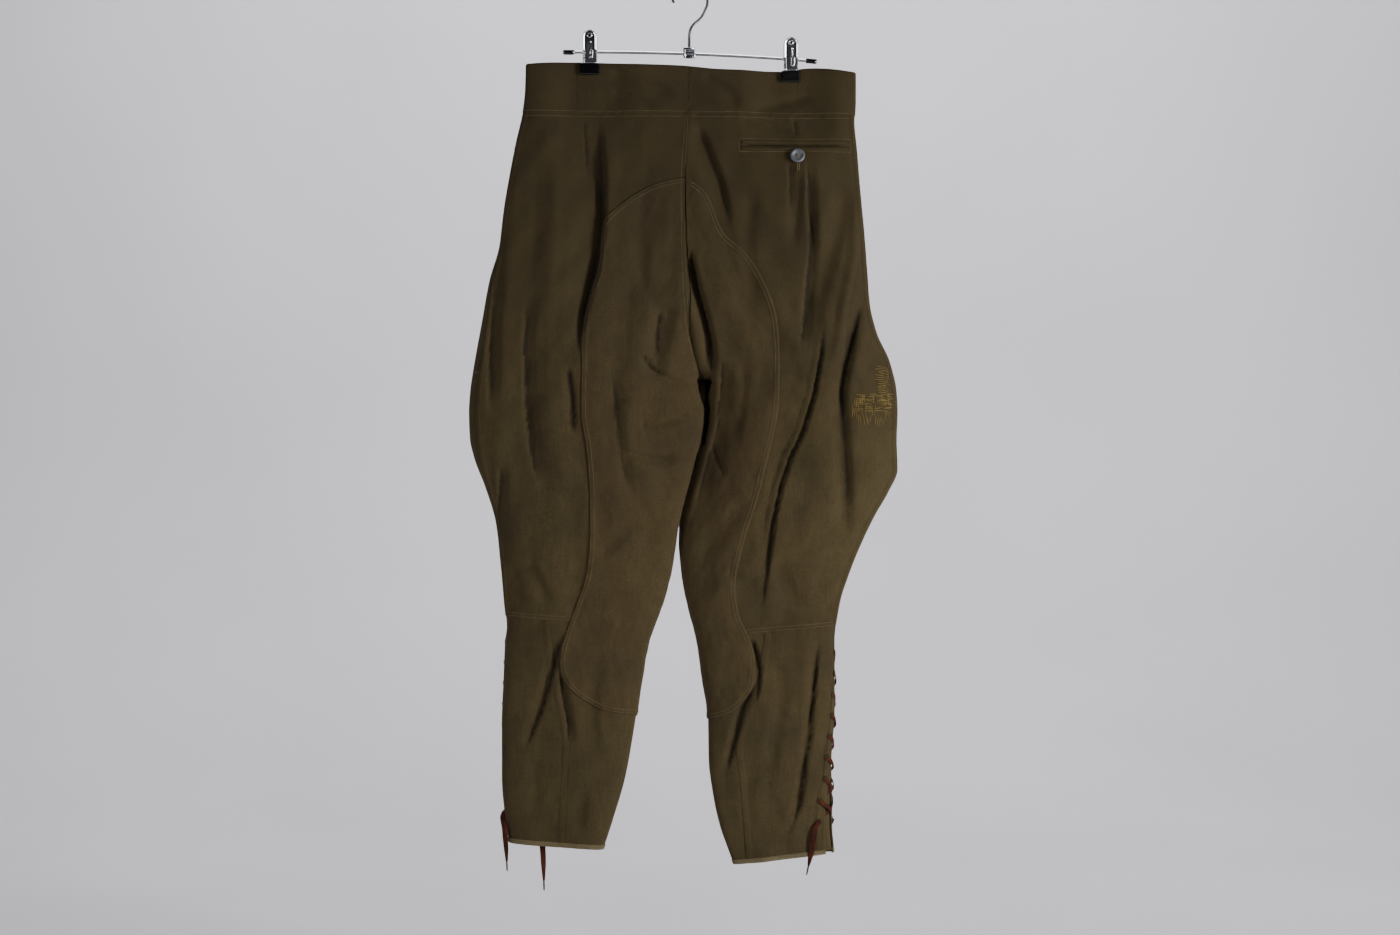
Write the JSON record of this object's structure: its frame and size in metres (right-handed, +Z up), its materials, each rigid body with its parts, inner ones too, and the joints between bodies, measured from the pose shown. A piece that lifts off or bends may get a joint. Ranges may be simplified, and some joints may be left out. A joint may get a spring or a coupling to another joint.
{
  "type": "laced riding breeches on a wire clip hanger",
  "caption": "Laced riding breeches of khaki cloth with a sewn-on seat and leg patch, hanging back-side out from a clip hanger.",
  "frame": {"origin": "inside of the top of the hanger's hook, where it rests on a rail", "axes": "+Z up, +X to the wearer's right, +Y to the wearer's front; the back faces -Y"},
  "size_m": [0.5039, 0.0641, 1.0857],
  "materials": {
    "khaki_cloth": "worn cotton drill, matt, slightly napped",
    "khaki_patch": "worn cotton drill, matt",
    "khaki_tape": "cotton tape, matt",
    "brown_lace": "flat woven lace",
    "chrome": "polished",
    "black_vinyl": "glossy dipped vinyl",
    "grey_button": "dull grey, worn"
  },
  "bodies": {
    "root": {"back_left": "khaki_cloth", "back_right": "khaki_cloth", "front_left": "khaki_cloth", "front_right": "khaki_cloth", "calf_inner_left": "khaki_cloth", "calf_inner_right": "khaki_cloth", "calf_outer_left": "khaki_cloth", "calf_outer_right": "khaki_cloth", "tongue_left": "khaki_cloth", "tongue_right": "khaki_cloth", "waistband_back_left": "khaki_cloth", "waistband_back_right": "khaki_cloth", "waistband_front_left": "khaki_cloth", "waistband_front_right": "khaki_cloth", "fly_flap": "khaki_cloth", "pocket_welt_upper": "khaki_cloth", "pocket_welt_lower": "khaki_cloth", "leg_patch_left": "khaki_patch", "leg_patch_right": "khaki_patch", "hem_tape_left": "khaki_tape", "hem_tape_right": "khaki_tape", "lacing_left_a": "brown_lace", "lacing_left_b": "brown_lace", "lacing_right_a": "brown_lace", "lacing_right_b": "brown_lace", "lace_end_left_back": "brown_lace", "lace_end_left_front": "brown_lace", "lace_end_right_back": "brown_lace", "lace_end_right_front": "brown_lace", "lace_tag_left_back": "brown_lace", "lace_tag_left_front": "brown_lace", "lace_tag_right_back": "brown_lace", "lace_tag_right_front": "brown_lace", "hanger_rod": "chrome", "hanger_hook": "chrome", "hanger_saddle": "chrome", "clip_left_back": "chrome", "clip_left_front": "chrome", "clip_right_back": "chrome", "clip_right_front": "chrome", "rod_cap_left": "black_vinyl", "rod_cap_right": "black_vinyl", "clip_grip_left_back": "black_vinyl", "clip_grip_left_front": "black_vinyl", "clip_grip_right_back": "black_vinyl", "clip_grip_right_front": "black_vinyl", "pocket_button": "grey_button", "waist_button": "grey_button"}
  },
  "joints": []
}
